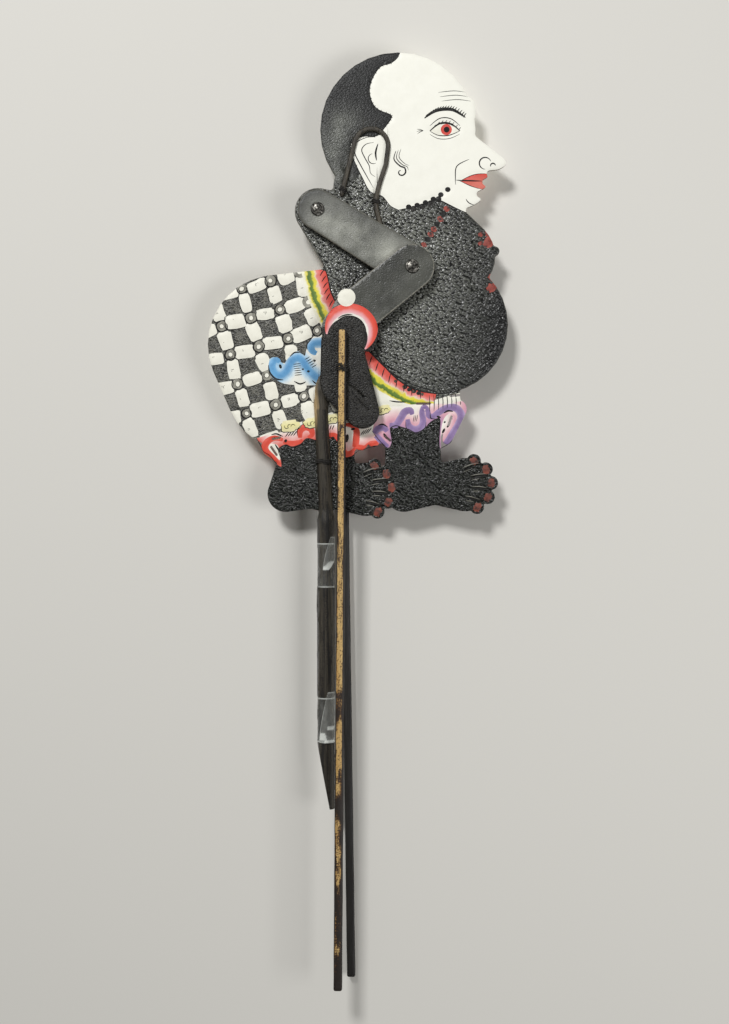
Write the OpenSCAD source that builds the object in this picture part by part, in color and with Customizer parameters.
// Flat hide shadow puppet: a stout attendant in profile, with two jointed arms,
// a split main rod that clamps the figure and one control rod tied to each hand.
// Millimetres. +X is the way the figure faces, +Z is up, the front face looks towards -Y.
// The origin is on the main rod's axis, at the middle of the grip between the two tape bands.

/* [Hide] */
// Thickness of the figure's hide
hide_t = 1.8; // [1.2:0.1:3]
// Thickness of the arms' hide
arm_t = 1.6; // [1:0.1:2.4]
// Radius that blends the figure's inside corners
blend_r = 1.5; // [0.5:0.25:2.5]
// Radius that the knife leaves in the small inside corners
knife_r = 0.3; // [0.1:0.05:0.6]

/* [Head] */
// Centre of the skull, along X
skull_x = 31; // [28:0.5:34]
// Centre of the skull, along Z
skull_z = 221; // [218:0.5:224]
// Radius of the skull, from its centre to the back of the hair
skull_r = 33.5; // [28:0.5:38]
// Height of the head, from crown to chin
head_h = 67; // [62:0.5:70]
// Length of the nose in front of the face line
nose_l = 13; // [8:0.5:18]
// Middle of the neck, along X
neck_x = 22.5; // [19.5:0.5:25.5]
// Middle of the neck, along Z
neck_z = 195; // [192:0.5:198]
// Half width of the neck
neck_r = 19.5; // [15:0.5:23]

/* [Trunk] */
// Shoulder pivot, along X
shoulder_x = -3.5; // [-6.5:0.5:-0.5]
// Shoulder pivot, along Z
shoulder_z = 186; // [183:0.5:189]
// Radius of the shoulder round its pivot
shoulder_r = 10; // [8:0.5:13]
// Centre of the chest, along X
chest_x = 56.5; // [53.5:0.5:59.5]
// Centre of the chest, along Z
chest_z = 166.5; // [163.5:0.5:169.5]
// Radius of the chest
chest_r = 16.5; // [14:0.5:18]
// Length of the breast's tip in front of the chest
breast_l = 2; // [0.5:0.25:4]
// Centre of the belly, along X
belly_x = 49; // [46:0.5:52]
// Centre of the belly, along Z
belly_z = 137; // [134:0.5:140]
// Radius of the belly
belly_r = 29.5; // [25:0.5:34]
// Centre of the rump, along X
rump_x = -21; // [-24:0.5:-18]
// Centre of the rump, along Z
rump_z = 128.5; // [125.5:0.5:131.5]
// Radius of the rump
rump_r = 30; // [26:0.5:34]

/* [Skirt and legs] */
// Back of the skirt, along X
skirt_back_x = -15.5; // [-18.5:0.5:-12.5]
// Back of the skirt, along Z
skirt_back_z = 111; // [108:0.5:114]
// Radius of the skirt at the back
skirt_back_r = 28; // [24:0.5:31]
// Front of the skirt, along X
skirt_front_x = 40.5; // [37.5:0.5:43.5]
// Front of the skirt, along Z
skirt_front_z = 104.5; // [101.5:0.5:107.5]
// Radius of the skirt at the front
skirt_front_r = 17.5; // [14:0.5:21]
// Top of the rear leg, along X
rear_hip_x = -2; // [-5:0.5:1]
// Top of the rear leg, along Z
rear_hip_z = 92; // [89:0.5:95]
// Ankle of the rear leg, along X
rear_ankle_x = -0.5; // [-3.5:0.5:2.5]
// Ankle of the rear leg, along Z
rear_ankle_z = 70; // [67:0.5:73]
// Half width of the rear leg
rear_leg_r = 13.5; // [10:0.5:16]
// Heel of the rear foot, along X
rear_heel_x = -17.5; // [-20:0.5:-14]
// Heel of the rear foot, along Z
rear_heel_z = 64; // [62.5:0.5:66]
// Middle of the rear foot's toes, along X
rear_toes_x = 17.5; // [14.5:0.5:19]
// Middle of the rear foot's toes, along Z
rear_toes_z = 66; // [65.5:0.5:69]
// Top of the front leg, along X
front_hip_x = 37.5; // [34.5:0.5:40.5]
// Top of the front leg, along Z
front_hip_z = 93.5; // [90.5:0.5:96.5]
// Ankle of the front leg, along X
front_ankle_x = 37.5; // [34.5:0.5:40.5]
// Ankle of the front leg, along Z
front_ankle_z = 74.5; // [71.5:0.5:77.5]
// Half width of the front leg
front_leg_r = 12; // [9:0.5:15]
// Heel of the front foot, along X
front_heel_x = 33.5; // [31:0.5:37]
// Heel of the front foot, along Z
front_heel_z = 64; // [62.5:0.5:68]
// Middle of the front foot's toes, along X
front_toes_x = 60.5; // [56:0.5:62]
// Middle of the front foot's toes, along Z
front_toes_z = 68; // [66:0.5:71]
// Half height of a foot at its heel
heel_r = 7.75; // [7:0.25:9]
// Half height of a foot at its instep
instep_r = 8.5; // [7.5:0.25:10]
// Rise of the instep above the line from heel to toes
instep_h = 2; // [0:0.25:3]
// Half height of a foot across its toes
toes_r = 11.5; // [9:0.25:12.5]
// Radius of a toe
toe_r = 3; // [2.5:0.1:3.2]
// Radius of a hem lobe at its root
lobe_r = 3; // [2:0.1:4]
// Width of a pierced slot
slot_w = 1; // [0.5:0.1:1.5]
// Radius of a pierced dot
dot_r = 0.7; // [0.4:0.1:1]

/* [Arms] */
// Length of the upper arm, from shoulder pivot to elbow pivot
upper_arm_l = 47.5; // [40:0.5:55]
// Direction of the upper arm at rest, in degrees from +X
upper_arm_angle = -31.5; // [-45:0.5:-15]
// Half width of the upper arm at the shoulder
upper_arm_r = 8.5; // [6:0.25:10]
// Half width of the arm at the elbow
elbow_r = 9.5; // [7:0.25:11]
// Length of the forearm, from elbow pivot to wrist
forearm_l = 32.5; // [27:0.5:38]
// Direction of the forearm at rest, in degrees from +X
forearm_angle = 219; // [205:0.5:230]
// Direction of the hand at rest, in degrees from +X
hand_angle = 258.5; // [245:0.5:270]
// Distance from wrist to the tie hole of the rod
tie_d = 23.5; // [18:0.5:28]
// Half width of the hand below the bracelet
hand_r = 8.5; // [7:0.25:10]
// Half width of the palm
palm_r = 11; // [9.5:0.25:12.5]
// Radius of the fingertips
finger_r = 7.3; // [5.5:0.1:8.5]
// Length of the fingers beyond the palm
finger_l = 11; // [8:0.5:14]
// Sideways reach of the fingers from the palm
finger_reach = 9.4; // [6:0.2:12]
// Distance from wrist to the centre of the bracelet
bracelet_d = 8; // [6:0.25:10]
// Radius of the bracelet at the middle of its band
bracelet_r = 9.7; // [8:0.1:11]
// Width of the bracelet's band
bracelet_w = 5.2; // [3:0.1:7]
// Radius of the round boss on the bracelet
boss_r = 3.7; // [2.5:0.1:5]

/* [Rivets] */
// Radius of a rivet's shank
shank_r = 1.7; // [1.2:0.1:2.2]
// Radius of a rivet's head and of its washer
head_r = 2.9; // [2.5:0.1:3.6]
// Thickness of a rivet's head
head_t = 0.7; // [0.4:0.1:1.2]
// Thickness of the washer under the hammered end
burr_t = 0.6; // [0.4:0.1:1]
// Height of the hammered end above its washer
peen_h = 0.5; // [0.3:0.1:0.8]
// Radius of the hide collars that hold the arms off the figure
collar_r = 4.6; // [3.6:0.1:6]

/* [Main rod] */
// Radius of the main rod
rod_r = 3.9; // [3:0.1:4.6]
// Length of the grip between the tape bands
grip_l = 47.5; // [40:0.5:52]
// Width of the clear tape
tape_w = 19; // [12:0.5:22]
// Thickness of the wound tape
tape_t = 0.2; // [0.1:0.05:0.25]
// Length of the pointed end below the lower tape band
point_l = 29; // [20:0.5:40]
// Width of the flat at the very tip
tip_w = 2; // [1:0.1:3]
// Height at which the rod is split for the hide
split_z = 52; // [48:0.5:52.5]
// Length over which the rod is pared down above the split
paring_l = 5; // [2:0.5:8]
// Radius of the pared rod where it lies on the hide
pared_r = 3; // [2.4:0.1:3.6]
// Lean of the pared rod to the back of the figure, in degrees
pared_lean = 2.6; // [0:0.1:3]
// Height at which the round rod ends and its thin tongues begin
tongue_z = 108; // [95:0.5:112]
// Thickness of a tongue
tongue_t = 1.8; // [1.2:0.1:2.4]
// Width of a tongue where it leaves the round rod
tongue_root_w = 3.6; // [3:0.1:4.4]
// Width of a tongue at its far end
tongue_w = 2.1; // [1.6:0.1:3]
// Length of a tongue that is one with the round rod
tongue_overlap = 12; // [8:0.5:20]
// Height of the lowest thread tie
hem_tie_z = 78; // [70:0.5:90]
// Radius of the crook at the head, at the middle of the tongue
crook_r = 7.3; // [6:0.1:8.5]
// Bend of a tongue beside the hand, along X
hand_bend_x = 4; // [1:0.1:7]
// Bend of a tongue beside the hand, along Z
hand_bend_z = 121.5; // [118.5:0.1:124.5]
// Bend of a tongue behind the bracelet, along X
wrist_bend_x = 13; // [10:0.1:16]
// Bend of a tongue behind the bracelet, along Z
wrist_bend_z = 143; // [140:0.1:146]
// Tie at the waist, along X
waist_tie_x = 19.5; // [16.5:0.1:22.5]
// Tie at the waist, along Z
waist_tie_z = 155; // [152:0.1:158]
// Bend of a tongue at the breast, along X
breast_bend_x = 24.3; // [21.3:0.1:27.3]
// Bend of a tongue at the breast, along Z
breast_bend_z = 174; // [171:0.1:177]
// Tie under the jaw, along X
jaw_tie_x = 21.5; // [18.5:0.1:24.5]
// Tie under the jaw, along Z
jaw_tie_z = 190; // [187:0.1:193]
// Tie at the neck, along X
neck_tie_x = 7.3; // [4.3:0.1:10.3]
// Tie at the neck, along Z
neck_tie_z = 195; // [192:0.1:198]
// Centre of the crook, along X
crook_x = 19.5; // [16.5:0.5:22.5]
// Centre of the crook, along Z
crook_z = 214; // [211:0.5:217]

/* [Control rods] */
// Width of a control rod
stick_w = 3.8; // [2.8:0.1:4.6]
// Thickness of a control rod
stick_t = 3; // [2:0.1:4]
// Length of a control rod below its tie
stick_l = 265; // [230:1:300]
// Length of a control rod above its tie
stick_top_l = 16; // [10:0.5:20]
// Lean of the front control rod from the plumb line, in degrees
front_stick_lean = -0.4; // [-3:0.1:3]
// Lean of the rear control rod from the plumb line, in degrees
rear_stick_lean = 0.8; // [-3:0.1:3]
// Radius of a control rod's rounded edges
stick_edge_r = 1.2; // [0.6:0.1:1.4]
// Diameter of the tying thread
thread_d = 0.6; // [0.4:0.05:0.8]
// Gap from one turn of thread to the next
turn_gap = 0.55; // [0.5:0.05:0.8]

/* [Hidden] */
$fn = 72;
blend_facets = 32;

// Clearances
play = 0.15;          // between flat pieces that slide on each other
running = 0.05;       // of a moving bore on its shank, in radius
stem_clear = 0.05;    // of the tie's stem in the hand's hole, in radius
thread_clear = 0.12;  // of a thread in the hole that it passes through
wind_clear = 0.06;    // of a thread on what it is wound round

// Places in X and Z
skull_at = [skull_x, skull_z];
neck_at = [neck_x, neck_z];
shoulder_at = [shoulder_x, shoulder_z];
chest_at = [chest_x, chest_z];
belly_at = [belly_x, belly_z];
rump_at = [rump_x, rump_z];
skirt_back = [skirt_back_x, skirt_back_z];
skirt_front = [skirt_front_x, skirt_front_z];
rear_hip = [rear_hip_x, rear_hip_z];
rear_ankle = [rear_ankle_x, rear_ankle_z];
rear_heel = [rear_heel_x, rear_heel_z];
rear_toes = [rear_toes_x, rear_toes_z];
front_hip = [front_hip_x, front_hip_z];
front_ankle = [front_ankle_x, front_ankle_z];
front_heel = [front_heel_x, front_heel_z];
front_toes = [front_toes_x, front_toes_z];
crook_at = [crook_x, crook_z];
hand_bend = [hand_bend_x, hand_bend_z];
wrist_bend = [wrist_bend_x, wrist_bend_z];
waist_tie_at = [waist_tie_x, waist_tie_z];
breast_bend = [breast_bend_x, breast_bend_z];
jaw_tie_at = [jaw_tie_x, jaw_tie_z];
neck_tie_at = [neck_tie_x, neck_tie_z];

// Layers of the front side, as distances from the middle of the hide. The rear side mirrors them.
figure_face = hide_t / 2;
tongue_face = figure_face + tongue_t;
upper_arm_back = tongue_face + head_t + 2 * play;
upper_arm_face = upper_arm_back + arm_t;
forearm_back = upper_arm_face + play;
forearm_face = forearm_back + arm_t;
stick_back = forearm_face + thread_d + play;
stick_face = stick_back + stick_t;

// Head
crown_z = skull_at.y + skull_r;
chin_z = crown_z - head_h;
face_x = skull_at.x + skull_r;
eye_z = chin_z + head_h / 2;
nose_z = chin_z + head_h / 4;
mouth_z = chin_z + head_h / 6;
lip_l = nose_l / 3;
face_profile = [
    [skull_at.x, eye_z + head_h / 4],
    [face_x - lip_l, eye_z + head_h / 4.5],
    [face_x, eye_z + head_h / 10],
    [face_x - lip_l / 2, eye_z],
    [face_x + nose_l / 2, nose_z + head_h / 7.5],
    [face_x + nose_l, nose_z + head_h / 20],
    [face_x + nose_l * 0.8, nose_z],
    [face_x + lip_l * 0.7, nose_z - head_h / 60],
    [face_x + lip_l * 1.2, mouth_z + head_h / 30],
    [face_x + lip_l * 0.4, mouth_z],
    [face_x + lip_l, mouth_z - head_h / 30],
    [face_x - lip_l * 0.1, mouth_z - head_h / 13],
    [face_x + lip_l * 0.5, chin_z + head_h / 20],
    [face_x - lip_l, chin_z],
    [face_x - 3 * lip_l, chin_z + head_h / 40],
    [neck_at.x + neck_r, chin_z + head_h / 9],
    [skull_at.x, eye_z - head_h / 4],
];
profile_steps = 6;

// Breast and toes
breast_turn = 8;  // degrees of the breast's tip round the chest
toe_count = 5;
toe_first = 72;   // degrees of the uppermost toe round the middle of the toes
toe_step = 34;    // degrees from one toe to the next

// Lobes of the skirt's hem, each from a wide end to a narrow end: [from, radius, to, radius]
hem_lobes = [
    [skirt_back + [-8.5, -26.5], 1.3 * lobe_r, skirt_back + [-4, -32.5], 0.6 * lobe_r],
    [skirt_back + [25, -27.5], lobe_r, skirt_back + [27.5, -25], 0.8 * lobe_r],
    [skirt_back + [30.5, -25.5], 0.9 * lobe_r, skirt_back + [32.5, -23], 0.8 * lobe_r],
    [skirt_back + [36, -24], 0.9 * lobe_r, skirt_back + [37.5, -22], 0.8 * lobe_r],
    [skirt_front + [-16, -15.5], lobe_r, skirt_front + [-11.5, -18.5], 0.6 * lobe_r],
    [skirt_front + [16, -4], 1.4 * lobe_r, skirt_front + [11.8, -17], 0.7 * lobe_r],
];

// Pierced slots, each as [middle, length, degrees], and pierced dots in rows
slots = [
    [skirt_front + [1.5, -1.5], 6.5, 0],
    [skirt_front + [15.5, 2], 5.5, 5],
    [skirt_front + [-14, -16.5], 4, -40],
    [skirt_front + [13, -9], 4.5, 70],
    [skirt_back + [-7, -28.5], 5, -55],
    [skirt_back + [-6, -23], 4, 10],
];
jaw_dots = 6;
jaw_dots_span = [-82, -50];      // degrees round the middle of the eye line
belt_dots = 4;
belt_dots_span = [-128, -104];   // degrees round the belly

// Arms at rest
elbow_at = shoulder_at + upper_arm_l * heading(upper_arm_angle);
wrist_at = elbow_at + forearm_l * heading(forearm_angle);
along_hand = heading(hand_angle);
across_hand = heading(hand_angle + 90);
tie_at = wrist_at + tie_d * along_hand;
palm_top = wrist_at + (tie_d - palm_r) * along_hand - palm_r / 4 * across_hand;
palm_end = tie_at + palm_r / 2 * along_hand + palm_r / 4 * across_hand;
fingers_end = palm_end + finger_l * along_hand + finger_reach * across_hand;
bracelet_at = wrist_at + bracelet_d * along_hand;
bracelet_from = -35;    // degrees round the bracelet's centre
bracelet_to = 172;
boss_turn = 95;
boss_sunk = boss_r / 4; // the boss grows out of the band by this much
boss_at = bracelet_at + (bracelet_r + bracelet_w / 2 + boss_r - boss_sunk) * heading(boss_turn);
stem_r = thread_d;
stem_hole_r = stem_r + stem_clear;
knot_r = 2 * thread_d + stem_clear;

// Thread windings, drawn with a few rings round each corner of what they go round
corner_rings = 6;
turn_rings = 4 * corner_rings;
thread_sides = 6;
turn_pitch = thread_d + turn_gap;
wind_off = thread_d / 2 + wind_clear;    // from what is wound to the middle of the thread
rod_tie_turns = 2;
hand_tie_turns = 3;
tie_hole_r = norm([turn_pitch / 2 + thread_d / 2, thread_d / 2]) + thread_clear;

// Main rod
upper_tape_z = grip_l / 2;
lower_tape_z = -grip_l / 2 - tape_w;
scraped_r = rod_r - tape_t;              // in the seats of the tape and at the point
tip_z = lower_tape_z - point_l;
pared_l = (tongue_z - split_z) / cos(pared_lean) - paring_l;
pared_top = [-tan(pared_lean) * (tongue_z - split_z), tongue_z];
hem_tie_at = [-tan(pared_lean) * (hem_tie_z - split_z), hem_tie_z];
crook_span = [-5, 165];   // degrees round the crook's centre
arc_steps = 18;
tongue_path = concat(
    smooth([
        pared_top - [0, tongue_overlap], pared_top + [tongue_w / 3, paring_l], hand_bend, wrist_bend,
        waist_tie_at, breast_bend, jaw_tie_at, crook_at + crook_r * [0.86, -1.1],
    ], profile_steps),
    arc(crook_at, crook_r, crook_span[0], crook_span[1], arc_steps),
    smooth([crook_at - crook_r * [1.12, 0.34], crook_at - crook_r * [1.37, 1.37],
            neck_tie_at - crook_r * [0.11, 0.41]], profile_steps)
);
tongue_taper = 0.6;     // share of the path over which a tongue narrows

// Unit vector at an angle
function heading(a) = [cos(a), sin(a)];

// Points along an arc
function arc(c, r, from, to, n) = [for (i = [0:n]) c + r * heading(from + (to - from) * i / n)];

// One point of the smooth curve between b and c, with its neighbours a and d
function between(a, b, c, d, t) =
    0.5 * (2 * b + (c - a) * t + (2 * a - 5 * b + 4 * c - d) * t * t + (3 * b - a - 3 * c + d) * t * t * t);

// A smooth curve through points, with n steps from each to the next
function smooth(p, n) = let (last = len(p) - 1) concat(
    [for (i = [0:last - 1], k = [0:n - 1])
        between(p[max(i - 1, 0)], p[i], p[i + 1], p[min(i + 2, last)], k / n)],
    [p[last]]);

// Unit normal, to the left, of a path at its point i
function left_of(p, i) =
    let (d = p[min(i + 1, len(p) - 1)] - p[max(i - 1, 0)]) [-d.y, d.x] / norm(d);

// Half width of a tongue at point i of its path
function tongue_half(i) =
    let (done = min(1, i / (len(tongue_path) - 1) / tongue_taper))
        (tongue_root_w + (tongue_w - tongue_root_w) * done) / 2;

// Outline of a tongue along its path
function tongue_edge() = let (p = tongue_path, last = len(p) - 1) concat(
    [for (i = [0:last]) p[i] + tongue_half(i) * left_of(p, i)],
    [for (i = [last:-1:0]) p[i] - tongue_half(i) * left_of(p, i)]);

// Index of the tongue's path point nearest to a tie, and the direction across the tongue there
function near(at) = let (d = [for (p = tongue_path) norm(p - at)]) search(min(d), d)[0];
function across(at) = let (n = left_of(tongue_path, near(at))) atan2(n.y, n.x);

// Ring k of a thread wound round a section of half width w and half depth d, with corners of radius r
function wound(k, w, d, r) = let (
    corner = floor(k / corner_rings) % 4,
    turn = 90 * corner + 90 * (k % corner_rings) / (corner_rings - 1),
    middle = [(corner == 0 || corner == 3 ? 1 : -1) * (w - r), (corner < 2 ? 1 : -1) * (d - r)]
) middle + r * heading(turn);

// Path of a thread that winds some turns from ring first on, rising one pitch a turn
function winding(turns, first, w, d, r) = let (steps = turns * turn_rings + 1) [
    for (i = [0:steps]) let (xy = wound(first + i, w, d, r))
        [xy.x, xy.y, turn_pitch * (i - steps / 2) / turn_rings]];

// Least gap between a winding's turns
function least_gap(path) = min([
    for (i = [0:len(path) - 1], j = [i + turn_rings / 2:1:len(path) - 1]) norm(path[i] - path[j])
]) - thread_d;

// Ring of a thread's tube round point i of its path
function thread_ring(p, i) = let (
    t = p[min(i + 1, len(p) - 1)] - p[max(i - 1, 0)],
    along = t / norm(t),
    out = cross(along, [0, 0, 1]) / norm(cross(along, [0, 0, 1])),
    up = cross(out, along)
) [for (a = [0:thread_sides - 1]) let (h = thread_d / 2 * heading(360 * a / thread_sides))
    p[i] + h.x * out + h.y * up];

// A flat piece drawn in X and Z, from back to face in front of the middle plane
module sheet(back, face) {
    translate([0, -back, 0]) rotate([90, 0, 0]) linear_extrude(face - back) children();
}

// A round bar along Y at a place in X and Z, from back to face in front of the middle plane
module bar(at, back, face, r, end_r = undef) {
    translate([at.x, -back, at.y]) rotate([90, 0, 0])
        cylinder(h = face - back, r1 = r, r2 = is_undef(end_r) ? r : end_r);
}

// A disc at a place
module disc(at, r) {
    translate(at) circle(r);
}

// Two discs and what lies between their outer tangents
module taper(a, ra, b, rb) {
    turn = atan2(b.y - a.y, b.x - a.x);
    lean = acos((ra - rb) / norm(b - a));
    disc(a, ra);
    disc(b, rb);
    polygon([a + ra * heading(turn + lean), b + rb * heading(turn + lean),
             b + rb * heading(turn - lean), a + ra * heading(turn - lean)]);
}

// Fills the inside corners of what it holds with a radius
module blended(r) {
    offset(r = -r, $fn = blend_facets) offset(delta = r) children();
}

// Mirrors the rear side's pieces from the front side's
module side(rear) {
    mirror([0, rear ? 1 : 0, 0]) children();
}

// The figure's own outline

module head_outline() {
    disc(skull_at, skull_r);
    disc(neck_at, neck_r);
    polygon(smooth(face_profile, profile_steps));
}

module trunk_outline() {
    taper(shoulder_at, shoulder_r, belly_at, belly_r);
    taper(shoulder_at, shoulder_r, chest_at, chest_r);
    taper(rump_at, rump_r, belly_at, belly_r);
    taper(neck_at, neck_r, chest_at, chest_r);
    disc(chest_at + chest_r * heading(breast_turn), breast_l);
}

module skirt_outline() {
    taper(rump_at, rump_r, skirt_back, skirt_back_r);
    taper(skirt_back, skirt_back_r, skirt_front, skirt_front_r);
}

module toe_row(toes) {
    for (i = [0:toe_count - 1]) disc(toes + (toes_r - toe_r / 4) * heading(toe_first - i * toe_step), toe_r);
}

module leg_outline(hip, ankle, r, heel, toes) {
    instep = (heel + toes) / 2 + [0, instep_h];
    taper(hip, r, ankle, r);
    taper(hip, r, heel, heel_r);
    taper(heel, heel_r, instep, instep_r);
    taper(instep, instep_r, toes, toes_r);
}

module figure_outline() {
    blended(knife_r) {
        blended(blend_r) {
            head_outline();
            trunk_outline();
            skirt_outline();
            leg_outline(rear_hip, rear_ankle, rear_leg_r, rear_heel, rear_toes);
            leg_outline(front_hip, front_ankle, front_leg_r, front_heel, front_toes);
        }
        toe_row(rear_toes);
        toe_row(front_toes);
        for (lobe = hem_lobes) taper(lobe[0], lobe[1], lobe[2], lobe[3]);
    }
}

module pierced_slot(middle, length, angle) {
    half = (length - slot_w) / 2 * heading(angle);
    taper(middle - half, slot_w / 2, middle + half, slot_w / 2);
}

module piercings() {
    for (s = slots) pierced_slot(s[0], s[1], s[2]);
    jaw_line = arc([skull_at.x, eye_z], head_h / 2, jaw_dots_span[0], jaw_dots_span[1], jaw_dots - 1);
    for (p = jaw_line) disc(p, dot_r);
    belt_line = arc(belly_at, belly_r + 2 * dot_r, belt_dots_span[0], belt_dots_span[1], belt_dots - 1);
    for (p = belt_line) disc(p, dot_r);
}

// Holes in the hide that a tie's turns pass through, on both sides of half width w
module tie_holes(at, w, angle) {
    for (way = [-1, 1])
        bar(at + way * (w * heading(angle) + turn_pitch / 4 * heading(angle + 90)),
            -hide_t, hide_t, tie_hole_r);
}

module figure_hide() {
    color("#2b2b2b") difference() {
        sheet(-figure_face, figure_face) difference() {
            figure_outline();
            piercings();
        }
        bar(shoulder_at, -hide_t, hide_t, shank_r);
        for (at = [neck_tie_at, jaw_tie_at, waist_tie_at])
            tie_holes(at, tongue_half(near(at)) + wind_off, across(at));
        tie_holes(hem_tie_at, pared_r + wind_off, pared_lean);
    }
}

// Main rod: a round stick, split in two halves that clamp the hide and run up as thin tongues

module rod_point() {
    polygon([
        [-rod_r, lower_tape_z], [scraped_r - tip_w, tip_z], [rod_r, tip_z], [rod_r, split_z], [-rod_r, split_z],
    ]);
}

module pared_rod() {
    translate([0, 0, split_z]) {
        cylinder(h = paring_l, r1 = rod_r, r2 = pared_r);
        rotate([0, -pared_lean, 0]) {
            cylinder(h = pared_l, r = pared_r);
            translate([0, 0, pared_l]) cylinder(h = paring_l, r1 = pared_r, r2 = tongue_root_w / 2);
        }
    }
}

module tongue_outline() {
    polygon(tongue_edge());
    disc(tongue_path[len(tongue_path) - 1], tongue_w / 2);
}

module main_rod_half(rear) {
    side(rear) color("#2a2622") {
        difference() {
            intersection() {
                union() {
                    translate([0, 0, lower_tape_z]) cylinder(h = split_z - lower_tape_z, r = rod_r);
                    translate([0, 0, tip_z]) cylinder(h = split_z - tip_z, r = scraped_r);
                }
                sheet(0, rod_r) rod_point();
            }
            for (z = [lower_tape_z, upper_tape_z]) tape_ring(z, 2 * rod_r);
        }
        intersection() {
            pared_rod();
            sheet(figure_face, rod_r) translate([-2 * rod_r, 0]) square([4 * rod_r, 2 * tongue_z]);
        }
        sheet(figure_face, tongue_face) tongue_outline();
    }
}

// A ring round the rod at a tape band, from the scraped seat of the tape out to a radius
module tape_ring(z, r) {
    translate([0, 0, z]) difference() {
        cylinder(h = tape_w, r = r);
        translate([0, 0, -tape_w]) cylinder(h = 3 * tape_w, r = scraped_r);
    }
}

// Clear tape, wound tight in its seat so that it lies flush with the rod
module tape_band(z) {
    color([0.85, 0.87, 0.85, 0.5]) tape_ring(z, rod_r);
}

// A thread along a path, as one unbroken tube
module thread(path) {
    rings = len(path);
    points = [for (i = [0:rings - 1]) each thread_ring(path, i)];
    walls = [for (i = [0:rings - 2], a = [0:thread_sides - 1])
        let (b = (a + 1) % thread_sides, m = i * thread_sides, n = m + thread_sides)
            each [[m + a, m + b, n + a], [m + b, n + b, n + a]]];
    last = (rings - 1) * thread_sides;
    ends = [for (a = [1:thread_sides - 2]) each [[0, a + 1, a], [last, last + a, last + a + 1]]];
    polyhedron(points = points, faces = concat(walls, ends));
}

// Turns of thread round both halves of the main rod, through the hide, with both ends behind
module rod_tie(at, path, angle) {
    color("#171717") translate([at.x, 0, at.y]) rotate([0, -angle, 0]) thread(path);
}

module tongue_tie(at) {
    rod_tie(at, tongue_winding(at), across(at));
}

function tongue_winding(at) = winding(rod_tie_turns, corner_rings - 1,
    tongue_half(near(at)) + wind_off, tongue_face + wind_off, wind_off);
function pared_winding() = winding(rod_tie_turns, corner_rings - 1,
    pared_r + wind_off, pared_r + wind_off, pared_r + wind_off - thread_d);
function stick_winding() = winding(hand_tie_turns, 3 * corner_rings - 1,
    stick_w / 2 + wind_off, stick_t / 2 + wind_off, stick_edge_r + wind_off);

// Shoulder: one rivet through both arms and the hide

module rivet(at, head_face, washer_back) {
    color("#3a3836") {
        bar(at, head_face - head_t, head_face, head_r);
        bar(at, head_face, washer_back + burr_t, shank_r);
        bar(at, washer_back + burr_t, washer_back + burr_t + peen_h, (shank_r + head_r) / 2, shank_r);
    }
}

module washer(at, washer_back) {
    color("#4a4744") difference() {
        bar(at, washer_back, washer_back + burr_t, head_r);
        bar(at, washer_back - burr_t, washer_back + 2 * burr_t, shank_r);
    }
}

module shoulder_rivet() {
    rivet(shoulder_at, -upper_arm_face - play, upper_arm_face + play);
}

module shoulder_washer() {
    washer(shoulder_at, upper_arm_face + play);
}

module shoulder_collar(rear) {
    side(rear) color("#33302c") difference() {
        bar(shoulder_at, figure_face, upper_arm_back - play, collar_r);
        bar(shoulder_at, 0, upper_arm_face, shank_r);
    }
}

// Arms

module upper_arm(rear) {
    side(rear) color("#34332f") difference() {
        sheet(upper_arm_back, upper_arm_face) blended(knife_r)
            taper(shoulder_at, upper_arm_r, elbow_at, elbow_r);
        bar(shoulder_at, 0, forearm_face, shank_r + running);
        bar(elbow_at, 0, forearm_face, shank_r);
    }
}

module elbow_rivet(rear) {
    side(rear) rivet(elbow_at, upper_arm_back, forearm_face + play);
}

module elbow_washer(rear) {
    side(rear) washer(elbow_at, forearm_face + play);
}

module bracelet_outline() {
    disc(bracelet_at + bracelet_r * heading(bracelet_from), bracelet_w / 2);
    disc(bracelet_at + bracelet_r * heading(bracelet_to), bracelet_w / 2);
    polygon(concat(
        arc(bracelet_at, bracelet_r + bracelet_w / 2, bracelet_from, bracelet_to, 2 * arc_steps),
        arc(bracelet_at, bracelet_r - bracelet_w / 2, bracelet_to, bracelet_from, 2 * arc_steps)));
    disc(boss_at, boss_r);
}

module hand_outline() {
    taper(palm_top, hand_r, palm_end, palm_r);
    taper(palm_end, palm_r, fingers_end, finger_r);
}

module forearm(rear) {
    side(rear) color("#34332f") difference() {
        sheet(forearm_back, forearm_face) blended(knife_r) {
            taper(elbow_at, elbow_r, wrist_at, elbow_r);
            bracelet_outline();
            hand_outline();
        }
        bar(elbow_at, 0, stick_face, shank_r + running);
        bar(tie_at, 0, stick_face, stem_hole_r);
    }
}

// Control rods

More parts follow.
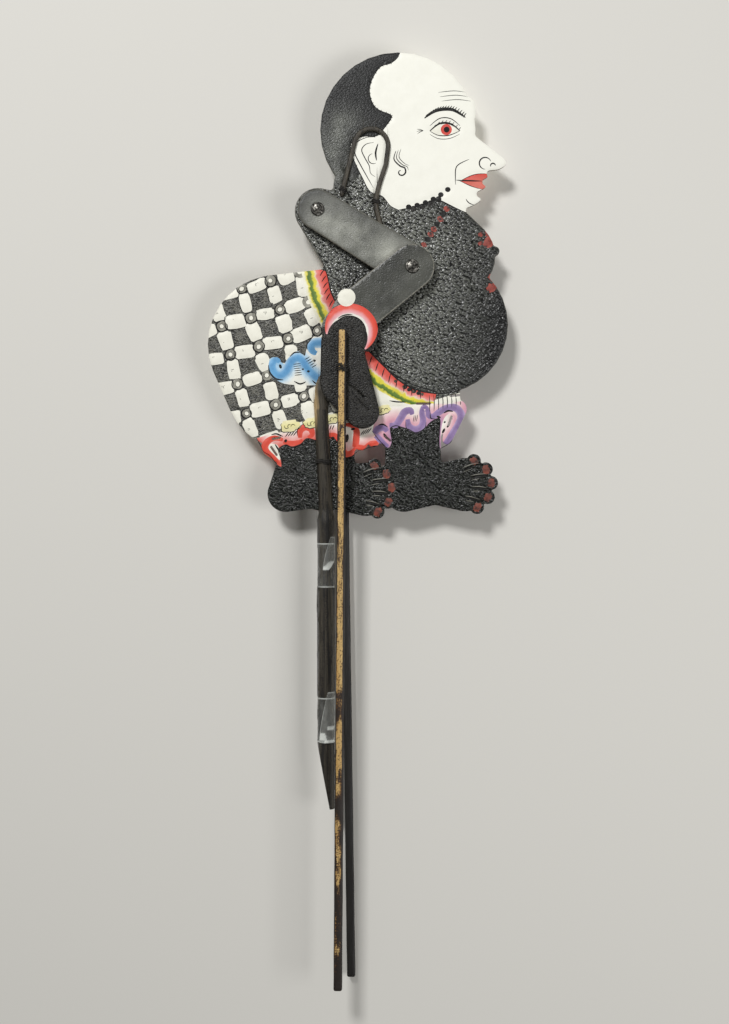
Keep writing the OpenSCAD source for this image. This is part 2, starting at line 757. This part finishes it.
// Stands what it holds at the tie hole, in the middle of the control rod's thickness
module at_tie(lean) {
    translate([tie_at.x, -(stick_back + stick_face) / 2, tie_at.y]) rotate([0, -lean, 0]) children();
}

module control_rod(rear, lean) {
    side(rear) color(rear ? "#1e1b18" : "#8a6a3a") at_tie(lean)
        translate([0, 0, -stick_l]) linear_extrude(stick_l + stick_top_l)
            offset(r = stick_edge_r)
                square([stick_w - 2 * stick_edge_r, stick_t - 2 * stick_edge_r], center = true);
}

// Thread round the control rod, with a stem through the hand and a knot behind it
module hand_tie(rear, lean) {
    side(rear) color("#171717") {
        at_tie(lean) thread(stick_winding());
        bar(tie_at, forearm_back - play, stick_back - wind_off, stem_r);
        bar(tie_at, forearm_back - play - thread_d, forearm_back - play, knot_r);
    }
}

echo(least_gap_of_turns = [for (path = [
    tongue_winding(neck_tie_at), tongue_winding(jaw_tie_at), tongue_winding(waist_tie_at),
    pared_winding(), stick_winding()]) least_gap(path)]);

figure_hide();
main_rod_half(false);  // main_rod_front_half
main_rod_half(true);  // main_rod_rear_half
tape_band(upper_tape_z);  // upper_tape_band
tape_band(lower_tape_z);  // lower_tape_band
tongue_tie(neck_tie_at);  // neck_tie
tongue_tie(jaw_tie_at);  // jaw_tie
tongue_tie(waist_tie_at);  // waist_tie
rod_tie(hem_tie_at, pared_winding(), pared_lean);  // hem_tie
shoulder_rivet();
shoulder_washer();
shoulder_collar(false);  // front_shoulder_collar
shoulder_collar(true);  // rear_shoulder_collar
upper_arm(false);  // front_upper_arm
elbow_rivet(false);  // front_elbow_rivet
elbow_washer(false);  // front_elbow_washer
forearm(false);  // front_forearm
control_rod(false, front_stick_lean);  // front_control_rod
hand_tie(false, front_stick_lean);  // front_rod_tie
upper_arm(true);  // rear_upper_arm
elbow_rivet(true);  // rear_elbow_rivet
elbow_washer(true);  // rear_elbow_washer
forearm(true);  // rear_forearm
control_rod(true, rear_stick_lean);  // rear_control_rod
hand_tie(true, rear_stick_lean);  // rear_rod_tie
